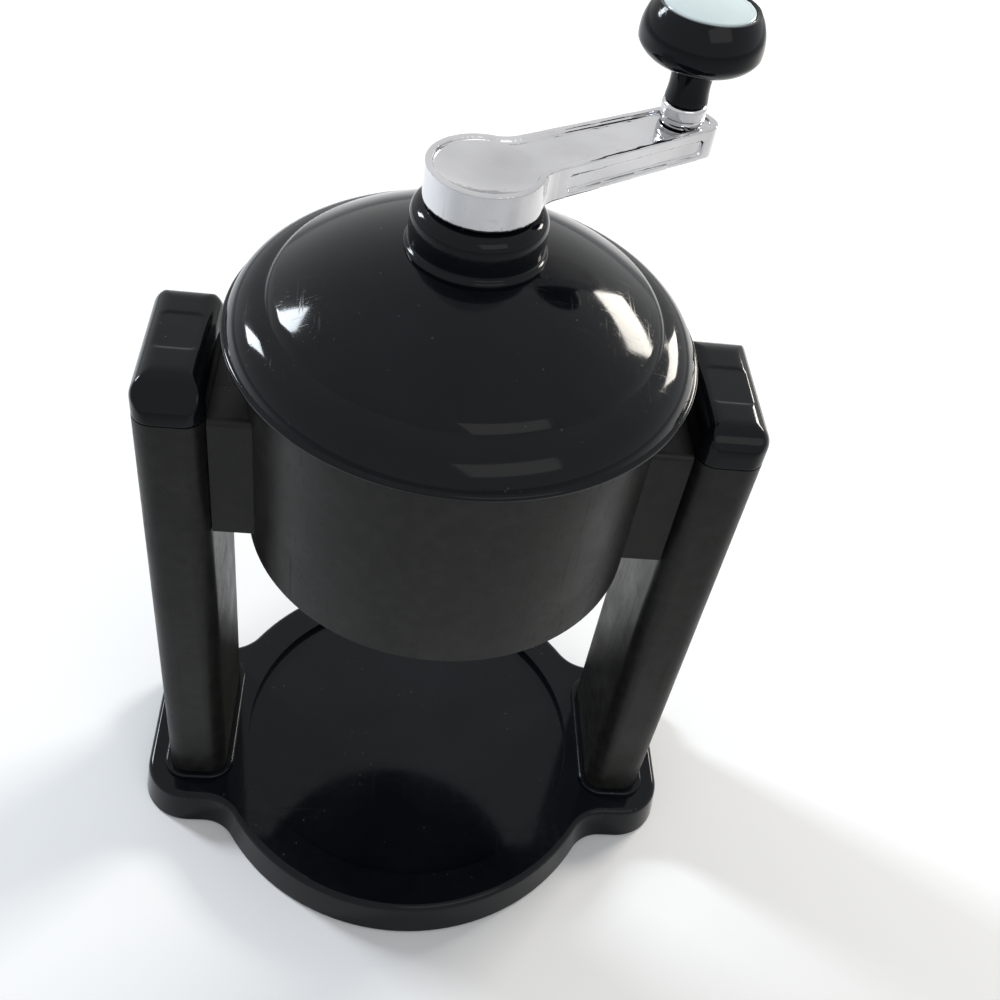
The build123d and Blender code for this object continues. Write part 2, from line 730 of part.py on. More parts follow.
def knob_disc():
    """Plain crowned disc set into the knob's top."""
    top = knob_z() + neck_h + knob_h
    ball_r = (disc_r ** 2 + disc_crown ** 2) / (2 * disc_crown)
    ball = Pos(0, 0, top + disc_crown - ball_r) * Sphere(ball_r)
    body = rod(disc_r, top - disc_t, top + disc_crown + 1) & ball
    return turn_out(Pos(crank_throw, 0, 0) * body)


def drive_shaft():
    """Journal and spring flange, with a square guide below, a round bore above and a tongue for the hub."""
    body = rod(shaft_r, shaft_bottom, hub_bottom) + rod(shaft_flange_r, flange_bottom, flange_top)
    half = tongue_w / 2
    body += brick(-half, half, -half, half, hub_bottom - 0.5, hub_bottom + tongue_h)
    bore = bar_w / 2 + slide_fit
    body -= brick(-bore, bore, -bore, bore, shaft_bottom - 1, guide_top + 1)
    body -= rod(stop_head_r + lift_gap, guide_top, hub_bottom - bore_end)
    return turn_out(body)


def washer(z, r):
    """Thrust washer on the shaft."""
    return ring(r, shaft_r + seat_gap, z, z + washer_t)


# ---- press ----
def press_bar():
    """Square bar that slides in the shaft, seated in the press plate and tapped for its screw."""
    half = bar_w / 2
    bar = brick(-half, half, -half, half, plate_z + bar_seat, guide_top)
    bar -= rod(press_screw_r, plate_z, plate_z + bar_seat + press_screw_len + 1)
    bar -= rod(stop_screw_r, guide_top - stop_screw_len - 1, guide_top + 1)
    return turn_out(bar)


def stop_screw():
    """Screw on top of the bar, whose head rests on the guide's shoulder and keeps the press from dropping out."""
    screw = round_screw(stop_screw_r, stop_head_r, stop_head_h, stop_screw_len)
    return Pos(0, 0, guide_top) * Rot(180, 0, 0) * screw


def press_plate():
    """Round plate with a rim, ribs and a square hub."""
    body = rod(plate_r, plate_z, plate_top) + ring(plate_r, plate_r - plate_t, plate_z, plate_top + plate_rim_h)
    body += rod(plate_boss_r, plate_top, plate_top + plate_boss_h)
    rib = brick(spring_r + spring_wire_r + 2, plate_r - 1, -rib_w / 2, rib_w / 2, plate_top, plate_top + plate_rim_h)
    for i in range(plate_rib_count):
        body += Rot(0, 0, i * 360 / plate_rib_count) * rib
    half = bar_w / 2
    body -= brick(-half, half, -half, half, plate_z + bar_seat, plate_top + plate_boss_h + 1)
    body -= rod(press_screw_r + seat_gap, plate_z - 1, plate_z + bar_seat + 1)
    for x, y in spike_places():
        body -= rod(spike_r, plate_z - 1, plate_top - 0.6, x, y)
    return turn_out(body)


def spike_places():
    """Middles of the spikes on three circles."""
    rows = [(share * plate_r, count) for share, count in spike_rows]
    return [(r * math.cos(math.tau * i / n), r * math.sin(math.tau * i / n)) for r, n in rows for i in range(n)]


def spike(x, y):
    """Pointed steel pin set into the press plate."""
    point = turned(
        Line((0, plate_z - spike_len), (0.3, plate_z - spike_len)),
        Line((0.3, plate_z - spike_len), (spike_r, plate_z)),
        Line((spike_r, plate_z), (0, plate_z)),
        Line((0, plate_z), (0, plate_z - spike_len)))
    return turn_out(Pos(x, y, 0) * point + rod(spike_r, plate_z, plate_top - 0.6, x, y))


def press_screw():
    """Screw under the plate, up into the bar."""
    screw = round_screw(press_screw_r, press_screw_head_r, press_screw_head_h, bar_seat + press_screw_len)
    return Pos(0, 0, plate_z) * screw


def coil_points():
    """Half-turn points and directions of the spring, with closed ends."""
    low = plate_top + spring_wire_r
    high = flange_bottom - spring_wire_r
    closed = spring_wire_r * 2 + 0.5
    halves = 2 * spring_turns
    open_halves = halves - 2 * spring_end_halves
    end_rises = [closed / spring_end_halves] * spring_end_halves
    rises = end_rises + [(high - low - 2 * closed) / open_halves] * open_halves + end_rises
    heights = [low + sum(rises[:i]) for i in range(halves + 1)]
    slopes = [0.0] + [(rises[i - 1] + rises[i]) / 2 / math.pi for i in range(1, halves)] + [0.0]
    points = []
    for i in range(halves + 1):
        side = 1 if i % 2 == 0 else -1
        points.append((Vector(side * spring_r, 0, heights[i]), Vector(0, side * spring_r, slopes[i]).normalized()))
    return points


def biarc(start, start_way, end, end_way):
    """Two arcs that leave one point and reach the next in the given directions."""
    chord = end - start
    both = start_way + end_way
    lack = 2 * (1 - start_way.dot(end_way))
    along = chord.dot(both)
    reach = (math.sqrt(along ** 2 + lack * chord.dot(chord)) - along) / lack
    middle = (start + start_way * reach + end - end_way * reach) * 0.5
    way = (end - end_way * reach) - (start + start_way * reach)
    return [TangentArc(start, middle, tangent=start_way), TangentArc(middle, end, tangent=way)]


def press_spring():
    """Compression spring between the shaft's flange and the press plate."""
    points = coil_points()
    edges = []
    for (start, start_way), (end, end_way) in zip(points, points[1:]):
        edges += biarc(start, start_way, end, end_way)
    section = Plane(origin=points[0][0], z_dir=points[0][1]) * Circle(spring_wire_r)
    least = min(b[0].Z - a[0].Z for a, b in zip(points, points[2:]))
    print("spring: least gap between turns", round(least - 2 * spring_wire_r, 2))
    return turn_out(sweep(section, path=Wire(edges)))


def build():
    """Every named piece of the ice shaver."""
    right_post, left_post = both_sides(post())
    right_cap, left_cap = both_sides(post_cap())
    pieces = {"base_tray": tray()}
    for name, (x, y) in zip(("front_left", "front_right", "rear_left", "rear_right"), foot_places()):
        pieces["foot_" + name] = foot(x, y)
    pieces["post_left"] = left_post
    pieces["post_right"] = right_post
    pieces["post_cap_left"] = left_cap
    pieces["post_cap_right"] = right_cap
    screw = round_screw(post_screw_r, post_screw_head_r, post_screw_head_h, post_screw_len)
    pieces["post_screws"] = [Pos(x, y, tray_bottom + post_screw_head_h) * screw for x, y in post_screw_places()]
    pieces["hopper"] = hopper()
    pieces["blade_floor"] = blade_floor()
    screw = round_screw(floor_screw_r, floor_screw_head_r, floor_screw_head_h, floor_screw_len)
    pieces["floor_screws"] = [Pos(x, y, ledge_z) * screw for x, y in floor_screw_places()]
    pieces["blade_carrier"] = blade_carrier()
    pieces["blade"] = blade()
    pieces["blade_clamp"] = blade_clamp()
    pieces["blade_screws"] = [clamp_screw(x, y) for x, y in clamp_screw_places()]
    pieces["carrier_strap"] = carrier_strap()
    screw = round_screw(strap_screw_r, strap_screw_head_r, strap_screw_head_h, floor_z - strap_z() + floor_t - 1.4)
    pieces["strap_screws"] = [Pos(x, y, strap_z()) * screw for x, y in strap_screw_places()]
    pieces["blade_adjuster"] = adjuster()
    pieces["lid"] = lid()
    pieces["turret"] = turret()
    pieces["turret_nut"] = turret_nut()
    pieces["shaft_bush"] = ring(bush_r, shaft_r + run_fit, spigot_bottom, turret_top)
    pieces["hub_washer"] = washer(turret_top, hub_r - 3)
    pieces["flange_washer"] = washer(spigot_bottom - washer_t, shaft_flange_r - 1)
    pieces["crank_arm"] = crank_arm()
    pieces["handle_ferrule"] = ferrule()
    pieces["handle_pin"] = handle_pin()
    pieces["knob"] = knob()
    pieces["knob_disc"] = knob_disc()
    pieces["drive_shaft"] = drive_shaft()
    pieces["press_bar"] = press_bar()
    pieces["bar_stop_screw"] = stop_screw()
    pieces["press_plate"] = press_plate()
    pieces["press_spikes"] = [spike(x, y) for x, y in spike_places()]
    pieces["press_screw"] = press_screw()
    pieces["press_spring"] = press_spring()
    return pieces


os.makedirs("parts", exist_ok=True)
for name, shape in build().items():
    solids = shape if isinstance(shape, list) else [shape]
    solids = [solid for item in solids for solid in item.solids()]
    whole = solids[0] if len(solids) == 1 else Compound(children=solids)
    whole.label = name
    export_step(whole, os.path.join("parts", name + ".step"))
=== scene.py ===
"""Looks of the hand cranked ice shaver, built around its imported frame."""

import json
import logging
import math
from collections.abc import Callable
from dataclasses import dataclass, field
from enum import Enum

import bpy
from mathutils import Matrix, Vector


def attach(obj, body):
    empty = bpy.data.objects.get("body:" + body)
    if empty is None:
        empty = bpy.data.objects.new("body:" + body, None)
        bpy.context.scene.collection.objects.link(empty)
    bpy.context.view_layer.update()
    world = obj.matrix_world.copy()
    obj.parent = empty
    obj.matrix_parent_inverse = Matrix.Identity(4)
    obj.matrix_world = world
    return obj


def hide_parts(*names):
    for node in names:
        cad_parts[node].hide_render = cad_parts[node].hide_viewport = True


LOG = logging.getLogger("ice_shaver")
MM = 0.001
AROUND = 96
SMOOTH_DEG = 40.0
SHADE_LOW = 0.82    # a finish's darkest share of its own colour
SHADE_HIGH = 1.18   # and its palest
Step = tuple[float, float]

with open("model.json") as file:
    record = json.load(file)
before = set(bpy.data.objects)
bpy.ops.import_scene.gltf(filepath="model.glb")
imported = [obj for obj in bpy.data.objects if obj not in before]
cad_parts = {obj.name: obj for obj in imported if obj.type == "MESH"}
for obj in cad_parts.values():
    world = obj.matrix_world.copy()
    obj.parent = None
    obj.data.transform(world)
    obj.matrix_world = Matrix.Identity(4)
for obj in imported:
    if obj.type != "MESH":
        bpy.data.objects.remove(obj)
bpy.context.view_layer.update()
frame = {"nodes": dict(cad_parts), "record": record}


class Body(str, Enum):
    """The moving groups that a piece can ride on."""

    STAND = "stand"
    LID = "lid_group"
    CRANK = "crank_group"
    KNOB = "knob_group"
    PRESS = "press_group"
    BLADE = "blade_block"
    ADJUSTER = "adjuster"


class Slot(str, Enum):
    """The record's material slots."""

    GLOSS_BLACK = "gloss_black"
    SATIN_BLACK = "satin_black"
    CHROME = "chrome"
    STEEL = "steel"
    PALE_DISC = "pale_disc"
    BUSH = "bush_plastic"
    RUBBER = "foot_rubber"


# ---------------------------------------------------------------- modelling
def clear() -> None:
    """Go to object mode with nothing selected."""
    if bpy.context.object is not None and bpy.context.object.mode != "OBJECT":
        bpy.ops.object.mode_set(mode="OBJECT")
    bpy.ops.object.select_all(action="DESELECT")


def take(obj: bpy.types.Object) -> None:
    """Make one object the only selected and active one."""
    clear()
    obj.select_set(True)
    bpy.context.view_layer.objects.active = obj


def bow(a: Step, b: Step, c: Step, count: int) -> list[Step]:
    """Sample the arc through three points of a section.

    Args:
        a: First point.
        b: A point between.
        c: Last point.
        count: Number of equal runs.

    Returns:
        count + 1 points, from a to c.
    """
    (ax, ay), (bx, by), (cx, cy) = a, b, c
    d = 2.0 * (ax * (by - cy) + bx * (cy - ay) + cx * (ay - by))
    squares = (ax * ax + ay * ay, bx * bx + by * by, cx * cx + cy * cy)
    ux = (squares[0] * (by - cy) + squares[1] * (cy - ay) + squares[2] * (ay - by)) / d
    uy = (squares[0] * (cx - bx) + squares[1] * (ax - cx) + squares[2] * (bx - ax)) / d
    radius = math.hypot(ax - ux, ay - uy)
    first, middle, last = (math.atan2(y - uy, x - ux) for x, y in (a, b, c))
    sweep = (last - first) % math.tau
    if (middle - first) % math.tau > sweep:
        sweep -= math.tau
    turns = [first + sweep * i / count for i in range(count + 1)]
    return [(ux + radius * math.cos(t), uy + radius * math.sin(t)) for t in turns]


def round_piece(name: str, steps: list[Step], at: Step = (0.0, 0.0), around: int = AROUND) -> bpy.types.Object:
    """Raise a round piece ring by ring on an upright axis.

    Args:
        name: The piece's name.
        steps: Radius and height of each ring in millimetres. Where the last ring is the first, the section
            closes on itself, and otherwise both ends are filled.
        at: The axis in millimetres.
        around: Sides of each ring.

    Returns:
        The closed piece, its place in its mesh.
    """
    clear()
    radius, height = steps[0]
    middle = (at[0] * MM, at[1] * MM)
    bpy.ops.mesh.primitive_circle_add(vertices=around, radius=radius * MM, fill_type="NOTHING",
                                      location=(*middle, height * MM))
    obj = bpy.context.object
    obj.name = name
    obj.data.name = name
    bpy.ops.object.mode_set(mode="EDIT")
    bpy.ops.mesh.select_all(action="SELECT")
    for new_radius, new_height in steps[1:]:
        bpy.ops.mesh.extrude_edges_move(TRANSFORM_OT_translate={"value": (0.0, 0.0, (new_height - height) * MM)})
        ratio = new_radius / radius
        bpy.ops.transform.resize(value=(ratio, ratio, 1.0), center_override=(*middle, new_height * MM))
        radius, height = new_radius, new_height
    bpy.ops.mesh.select_all(action="SELECT")
    bpy.ops.mesh.remove_doubles(threshold=0.000002)
    bpy.ops.mesh.select_all(action="SELECT")
    bpy.ops.mesh.fill_holes(sides=0)
    bpy.ops.mesh.select_all(action="SELECT")
    bpy.ops.mesh.normals_make_consistent(inside=False)
    return settled(obj)


def settled(obj: bpy.types.Object) -> bpy.types.Object:
    """Put a piece's place into its mesh and shade it by angle."""
    take(obj)
    bpy.ops.object.transform_apply(location=True, rotation=True, scale=True)
    bpy.ops.object.shade_smooth_by_angle(angle=math.radians(SMOOTH_DEG))
    return obj


def block(name: str, low: tuple[float, float, float], high: tuple[float, float, float]) -> bpy.types.Object:
    """Add a box between two corners in millimetres."""
    clear()
    bpy.ops.mesh.primitive_cube_add(size=1.0, location=[(a + b) / 2 * MM for a, b in zip(low, high)])
    obj = bpy.context.object
    obj.name = name
    obj.data.name = name
    obj.scale = [(b - a) * MM for a, b in zip(low, high)]
    bpy.ops.object.transform_apply(location=True, rotation=True, scale=True)
    return obj


def drum(radius: float, low: float, high: float, at: Step = (0.0, 0.0), around: int = AROUND) -> bpy.types.Object:
    """Add an upright cylinder between two heights in millimetres."""
    clear()
    bpy.ops.mesh.primitive_cylinder_add(vertices=around, radius=radius * MM, depth=(high - low) * MM,
                                        location=(at[0] * MM, at[1] * MM, (low + high) / 2 * MM))
    obj = bpy.context.object
    bpy.ops.object.transform_apply(location=True, rotation=True, scale=True)
    return obj


def round_edges(obj: bpy.types.Object, chosen: Callable[[Vector, Vector], bool], radius: float,
                segments: int = 8) -> bpy.types.Object:
    """Round the edges that a test picks.

    Args:
        obj: The solid.
        chosen: Says of an edge's middle and its unit direction, in millimetres, whether it is rounded.
        radius: In millimetres.
        segments: Faces across the rounding.

    Returns:
        The same object.
    """
    take(obj)
    bpy.ops.object.mode_set(mode="EDIT")
    bpy.ops.mesh.select_mode(type="EDGE")
    bpy.ops.mesh.select_all(action="DESELECT")
    bpy.ops.object.mode_set(mode="OBJECT")
    for edge in obj.data.edges:
        a, b = (obj.data.vertices[i].co / MM for i in edge.vertices)
        edge.select = chosen((a + b) / 2, (b - a).normalized())
    bpy.ops.object.mode_set(mode="EDIT")
    bpy.ops.mesh.bevel(offset=radius * MM, segments=segments, affect="EDGES", clamp_overlap=False)
    bpy.ops.object.mode_set(mode="OBJECT")
    return obj


def carve(obj: bpy.types.Object, tool: bpy.types.Object, mode: str = "DIFFERENCE") -> bpy.types.Object:
    """Cut, join or intersect a solid with another, which is used up."""
    take(obj)
    mod = obj.modifiers.new("carve", "BOOLEAN")
    mod.operation = mode
    mod.solver = "EXACT"
    mod.object = tool
    bpy.ops.object.modifier_apply(modifier=mod.name)
    bpy.data.objects.remove(tool, do_unlink=True)
    return obj


def soften(obj: bpy.types.Object, voxel: float, rounds: int) -> bpy.types.Object:
    """Give a carved solid the soft edges of a casting or moulding.

    Args:
        obj: The solid.
        voxel: Size of the new faces in millimetres.
        rounds: Smoothing passes.

    Returns:
        The same object, settled.
    """
    take(obj)
    fine = obj.modifiers.new("fine", "REMESH")
    fine.mode = "VOXEL"
    fine.voxel_size = voxel * MM
    bpy.ops.object.modifier_apply(modifier=fine.name)
    ease = obj.modifiers.new("ease", "SMOOTH")
    ease.factor = 0.5
    ease.iterations = rounds
    bpy.ops.object.modifier_apply(modifier=ease.name)
    return settled(obj)


def report(obj: bpy.types.Object) -> None:
    """Log a finished piece."""
    LOG.info("%s: %d faces", obj.name, len(obj.data.polygons))


# ---------------------------------------------------------------- node groups
def new_group(name: str, inputs: dict[str, tuple[str, float]], outputs: dict[str, str]) -> bpy.types.NodeTree:
    """Start a shader node group with named sockets.

    Args:
        name: The group's name.
        inputs: Socket name to its type and default value.
        outputs: Socket name to its type.

    Returns:
        The new group, with its two end nodes named "in" and "out".
    """
    tree = bpy.data.node_groups.new(name, "ShaderNodeTree")
    for label, (kind, value) in inputs.items():
        sock = tree.interface.new_socket(label, in_out="INPUT", socket_type=kind)
        if kind == "NodeSocketFloat":
            sock.default_value = value
    for label, kind in outputs.items():
        tree.interface.new_socket(label, in_out="OUTPUT", socket_type=kind)
    first = tree.nodes.new("NodeGroupInput")
    first.name = "in"
    last = tree.nodes.new("NodeGroupOutput")
    last.name = "out"
    return tree


@dataclass
class Wiring:
    """Short calls for placing and joining shader nodes in one tree."""

    tree: bpy.types.NodeTree

    def add(self, kind: str, **values: object) -> bpy.types.Node:
        """Place a node and set its properties."""
        node = self.tree.nodes.new(kind)
        for key, value in values.items():
            setattr(node, key, value)
        return node

    def join(self, a: bpy.types.NodeSocket, b: bpy.types.NodeSocket) -> None:
        """Link an output to an input."""
        self.tree.links.new(a, b)

    def noise(self, vector: bpy.types.NodeSocket, scale: float, detail: float, rough: float = 0.5) -> bpy.types.Node:
        """Noise on a vector.

        Args:
            vector: Where the pattern reads its place.
            scale: Features per metre.
            detail: Octaves.
            rough: Strength of the finer octaves.

        Returns:
            The noise node.
        """
        node = self.add("ShaderNodeTexNoise")
        node.inputs["Scale"].default_value = scale
        node.inputs["Detail"].default_value = detail
        node.inputs["Roughness"].default_value = rough
        self.join(vector, node.inputs["Vector"])
        return node

    def span(self, value: bpy.types.NodeSocket, lo: float, hi: float, to_lo: float,
             to_hi: float) -> bpy.types.NodeSocket:
        """Map a value from one range to another, clamped."""
        node = self.add("ShaderNodeMapRange")
        node.clamp = True
        for label, number in (("From Min", lo), ("From Max", hi), ("To Min", to_lo), ("To Max", to_hi)):
            node.inputs[label].default_value = number
        self.join(value, node.inputs["Value"])
        return node.outputs["Result"]

    def math(self, operation: str, a: bpy.types.NodeSocket, b: bpy.types.NodeSocket | float) -> bpy.types.NodeSocket:
        """Arithmetic on one socket and a socket or a number."""
        node = self.add("ShaderNodeMath", operation=operation)
        self.join(a, node.inputs[0])
        if isinstance(b, (int, float)):
            node.inputs[1].default_value = b
        else:
            self.join(b, node.inputs[1])
        return node.outputs[0]


def edge_wear_group() -> bpy.types.NodeTree:
    """Group that finds rubbed edges: 1 along sharp outer edges, broken up by noise."""
    tree = new_group("EdgeWear", {"Amount": ("NodeSocketFloat", 0.5)}, {"Mask": "NodeSocketFloat"})
    w = Wiring(tree)
    place = w.add("ShaderNodeTexCoord").outputs["Object"]
    point = w.add("ShaderNodeNewGeometry").outputs["Pointiness"]
    ridge = w.span(point, 0.52, 0.60, 0.0, 1.0)
    breakup = w.span(w.noise(place, 260.0, 4.0).outputs["Fac"], 0.42, 0.66, 0.0, 1.0)
    both = w.math("MULTIPLY", ridge, breakup)
    w.join(w.math("MULTIPLY", both, tree.nodes["in"].outputs["Amount"]), tree.nodes["out"].inputs["Mask"])
    return tree


def dust_group() -> bpy.types.NodeTree:
    """Group that finds settled dust: specks and a thin film, more of it on faces that look up."""
    tree = new_group("SettledDust", {"Film": ("NodeSocketFloat", 0.3), "Specks": ("NodeSocketFloat", 0.5)},
                     {"Mask": "NodeSocketFloat"})
    w = Wiring(tree)
    place = w.add("ShaderNodeTexCoord").outputs["Object"]
    facing = w.add("ShaderNodeSeparateXYZ")
    w.join(w.add("ShaderNodeNewGeometry").outputs["Normal"], facing.inputs[0])
    up = w.span(facing.outputs["Z"], -0.1, 0.9, 0.15, 1.0)
    cells = w.add("ShaderNodeTexVoronoi", feature="F1")
    cells.inputs["Scale"].default_value = 330.0
    w.join(place, cells.inputs["Vector"])
    speck = w.span(cells.outputs["Distance"], 0.05, 0.13, 1.0, 0.0)
    sparse = w.span(w.noise(place, 90.0, 2.0).outputs["Fac"], 0.55, 0.62, 0.0, 1.0)
    speck = w.math("MULTIPLY", w.math("MULTIPLY", speck, sparse), tree.nodes["in"].outputs["Specks"])
    film = w.span(w.noise(place, 42.0, 5.0, 0.65).outputs["Fac"], 0.35, 0.75, 0.0, 1.0)
    film = w.math("MULTIPLY", film, tree.nodes["in"].outputs["Film"])
    total = w.math("MULTIPLY", w.math("MAXIMUM", speck, film), up)
    w.join(total, tree.nodes["out"].inputs["Mask"])
    return tree


def rub_group() -> bpy.types.NodeTree:
    """Group of fine crossing scratches that vary roughness and height."""
    tree = new_group("FineRubs", {"Scale": ("NodeSocketFloat", 1.0)},
                     {"Mask": "NodeSocketFloat"})
    w = Wiring(tree)
    place = w.add("ShaderNodeTexCoord").outputs["Object"]
    total = None
    for turn, stretch in ((0.4, (1500.0, 45.0, 320.0)), (-0.7, (60.0, 1300.0, 300.0)), (1.2, (900.0, 900.0, 26.0))):
        m = w.add("ShaderNodeMapping")
        m.inputs["Rotation"].default_value = (0.2, 0.1, turn)
        m.inputs["Scale"].default_value = stretch
        w.join(place, m.inputs["Vector"])
        scaled = w.add("ShaderNodeVectorMath", operation="SCALE")
        w.join(m.outputs["Vector"], scaled.inputs[0])
        w.join(tree.nodes["in"].outputs["Scale"], scaled.inputs["Scale"])
        line = w.span(w.noise(scaled.outputs[0], 1.0, 1.0).outputs["Fac"], 0.67, 0.72, 0.0, 1.0)
        total = line if total is None else w.math("MAXIMUM", total, line)
    w.join(total, tree.nodes["out"].inputs["Mask"])
    return tree


# ---------------------------------------------------------------- finishes
@dataclass(frozen=True)
class Finish:
    """A surface of one colour with its own wear, grain and gloss."""

    name: str
    color: tuple[float, float, float]
    worn: tuple[float, float, float]
    dusty: tuple[float, float, float] = (0.24, 0.25, 0.26)
    rough: tuple[float, float] = (0.06, 0.16)
    metallic: float = 0.0
    coat: float = 0.0
    coat_rough: float = 0.03
    ior: float = 1.5
    specular: float = 0.5
    wear: float = 0.3
    film: float = 0.1
    specks: float = 0.5
    rub_bump: float = 0.0
    grain_scale: float = 2600.0
    grain_bump: float = 0.0
    wave_scale: float = 25.0
    wave_bump: float = 0.0

    def build(self, groups: dict[str, bpy.types.NodeTree]) -> bpy.types.Material:
        """Make the material.

        Args:
            groups: The shared node groups by name.

        Returns:
            The new material.
        """
        mat = bpy.data.materials.new(self.name)
        mat.use_nodes = True
        tree = mat.node_tree
        tree.nodes.clear()
        w = Wiring(tree)
        out = w.add("ShaderNodeOutputMaterial")
        shader = w.add("ShaderNodeBsdfPrincipled")
        w.join(shader.outputs[0], out.inputs["Surface"])
        place = w.add("ShaderNodeTexCoord").outputs["Object"]
        wear = self._placed(w, groups["EdgeWear"], {"Amount": self.wear})
        dust = self._placed(w, groups["SettledDust"], {"Film": self.film, "Specks": self.specks})
        rubs = self._placed(w, groups["FineRubs"], {"Scale": 1.0})
        tint = w.span(w.noise(place, 30.0, 3.0).outputs["Fac"], 0.3, 0.7, 0.0, 1.0)
        base = self._mixed(w, tint, tuple(c * SHADE_LOW for c in self.color), tuple(c * SHADE_HIGH for c in self.color))
        base = self._over(w, base, self.worn, wear)
        base = self._over(w, base, self.dusty, dust)
        w.join(base, shader.inputs["Base Color"])
        lo, hi = self.rough
        smear = w.noise(place, 55.0, 6.0, 0.62).outputs["Fac"]
        rough = w.span(smear, 0.32, 0.72, lo, hi)
        rough = w.math("ADD", rough, w.math("MULTIPLY", rubs, 0.10))
        rough = w.math("ADD", rough, w.math("MULTIPLY", dust, 0.35))
        w.join(w.math("ADD", rough, w.math("MULTIPLY", wear, 0.12)), shader.inputs["Roughness"])
        shader.inputs["Metallic"].default_value = self.metallic
        shader.inputs["IOR"].default_value = self.ior
        shader.inputs["Specular IOR Level"].default_value = self.specular
        shader.inputs["Coat Weight"].default_value = self.coat
        shader.inputs["Coat Roughness"].default_value = self.coat_rough
        self._relief(w, place, rubs, shader)
        return mat

    def _placed(self, w: Wiring, group: bpy.types.NodeTree, values: dict[str, float]) -> bpy.types.NodeSocket:
        """Place a shared group with this finish's values and return its mask."""
        node = w.add("ShaderNodeGroup")
        node.node_tree = group
        for label, number in values.items():
            node.inputs[label].default_value = number
        return node.outputs["Mask"]

    def _mixed(self, w: Wiring, factor: bpy.types.NodeSocket, dark: tuple[float, ...],
               pale: tuple[float, ...]) -> bpy.types.NodeSocket:
        """Colour between two shades by a factor from 0 to 1."""
        node = w.add("ShaderNodeMix", data_type="RGBA")
        w.join(factor, node.inputs["Factor"])
        for sock in node.inputs:
            if sock.type == "RGBA":
                sock.default_value = (*dark, 1.0) if sock.name == "A" else (*pale, 1.0)
        return [s for s in node.outputs if s.type == "RGBA"][0]

    def _over(self, w: Wiring, under: bpy.types.NodeSocket, color: tuple[float, ...],
              mask: bpy.types.NodeSocket) -> bpy.types.NodeSocket:
        """Lay a colour over another through a mask."""
        node = w.add("ShaderNodeMix", data_type="RGBA")
        w.join(mask, node.inputs["Factor"])
        sockets = [s for s in node.inputs if s.type == "RGBA"]
        w.join(under, sockets[0])
        sockets[1].default_value = (*color, 1.0)
        return [s for s in node.outputs if s.type == "RGBA"][0]

    def _relief(self, w: Wiring, place: bpy.types.NodeSocket, rubs: bpy.types.NodeSocket,
                shader: bpy.types.Node) -> None:
        """Join waviness, grain and scratches into one normal."""
        wave = w.noise(place, self.wave_scale, 2.0).outputs["Fac"]
        grain = w.noise(place, self.grain_scale, 3.0, 0.6).outputs["Fac"]
        height = w.math("MULTIPLY", wave, self.wave_bump)
        height = w.math("ADD", height, w.math("MULTIPLY", grain, self.grain_bump))
        height = w.math("SUBTRACT", height, w.math("MULTIPLY", rubs, self.rub_bump))
        bump = w.add("ShaderNodeBump")
        bump.inputs["Distance"].default_value = 1.0
        bump.inputs["Strength"].default_value = 1.0
        w.join(height, bump.inputs["Height"])
        w.join(bump.outputs["Normal"], shader.inputs["Normal"])


GLOSS_BLACK = Finish("GlossBlackPlastic", (0.0034, 0.0044, 0.0060), (0.018, 0.019, 0.022), rough=(0.05, 0.12),
                     specular=0.14, film=0.008, specks=0.2, rub_bump=0.0000012, wave_scale=22.0, wave_bump=0.00006)
SATIN_BLACK = Finish("SatinBlackPlastic", (0.0056, 0.0052, 0.0047), (0.02, 0.02, 0.02), rough=(0.30, 0.44),
                     specular=0.18, film=0.014, specks=0.25, grain_scale=3200.0, grain_bump=0.000018, wave_bump=0.00002)
CHROME = Finish("CastChrome", (0.56, 0.56, 0.575), (0.42, 0.41, 0.40), rough=(0.06, 0.20), metallic=1.0, wear=0.35,
                film=0.05, specks=0.3, rub_bump=0.0000025, wave_scale=150.0, wave_bump=0.00022)
STEEL = Finish("TurnedSteel", (0.52, 0.52, 0.53), (0.42, 0.41, 0.40), rough=(0.18, 0.32), metallic=1.0, wear=0.3,
               film=0.04, specks=0.2, rub_bump=0.000004, grain_bump=0.000004)
PALE_DISC = Finish("PaleDisc", (0.60, 0.72, 0.73), (0.72, 0.78, 0.78), rough=(0.10, 0.24), coat=0.5, wear=0.2,
                   film=0.10, specks=0.3, wave_scale=120.0, wave_bump=0.00003)
BUSH = Finish("BushPlastic", (0.60, 0.59, 0.55), (0.52, 0.51, 0.47), rough=(0.38, 0.52), film=0.05, specks=0.2,
              grain_bump=0.000006)
RUBBER = Finish("FootRubber", (0.022, 0.022, 0.023), (0.05, 0.05, 0.05), rough=(0.62, 0.80), film=0.15, specks=0.6,
                grain_scale=1500.0, grain_bump=0.00003)
FINISHES = {Slot.GLOSS_BLACK: GLOSS_BLACK, Slot.SATIN_BLACK: SATIN_BLACK, Slot.CHROME: CHROME, Slot.STEEL: STEEL,
            Slot.PALE_DISC: PALE_DISC, Slot.BUSH: BUSH, Slot.RUBBER: RUBBER}


@dataclass
class Palette:
    """All finishes, made once."""

    made: dict[Slot, bpy.types.Material] = field(default_factory=dict)

    def mix(self) -> None:
        """Build the shared groups and every finish."""
        groups = {"EdgeWear": edge_wear_group(), "SettledDust": dust_group(), "FineRubs": rub_group()}
        for slot, finish in FINISHES.items():
            self.made[slot] = finish.build(groups)

    def dress(self, obj: bpy.types.Object, slot: Slot) -> None:
        """Give an object one finish."""
        obj.data.materials.clear()
        obj.data.materials.append(self.made[slot])

    def dress_frame(self) -> None:
        """Give every carried-over CAD node the finish of its record slot."""
        for row in frame["record"]["subparts"]:
            self.dress(frame["nodes"][row["node"]], Slot(row["material_slot"]))


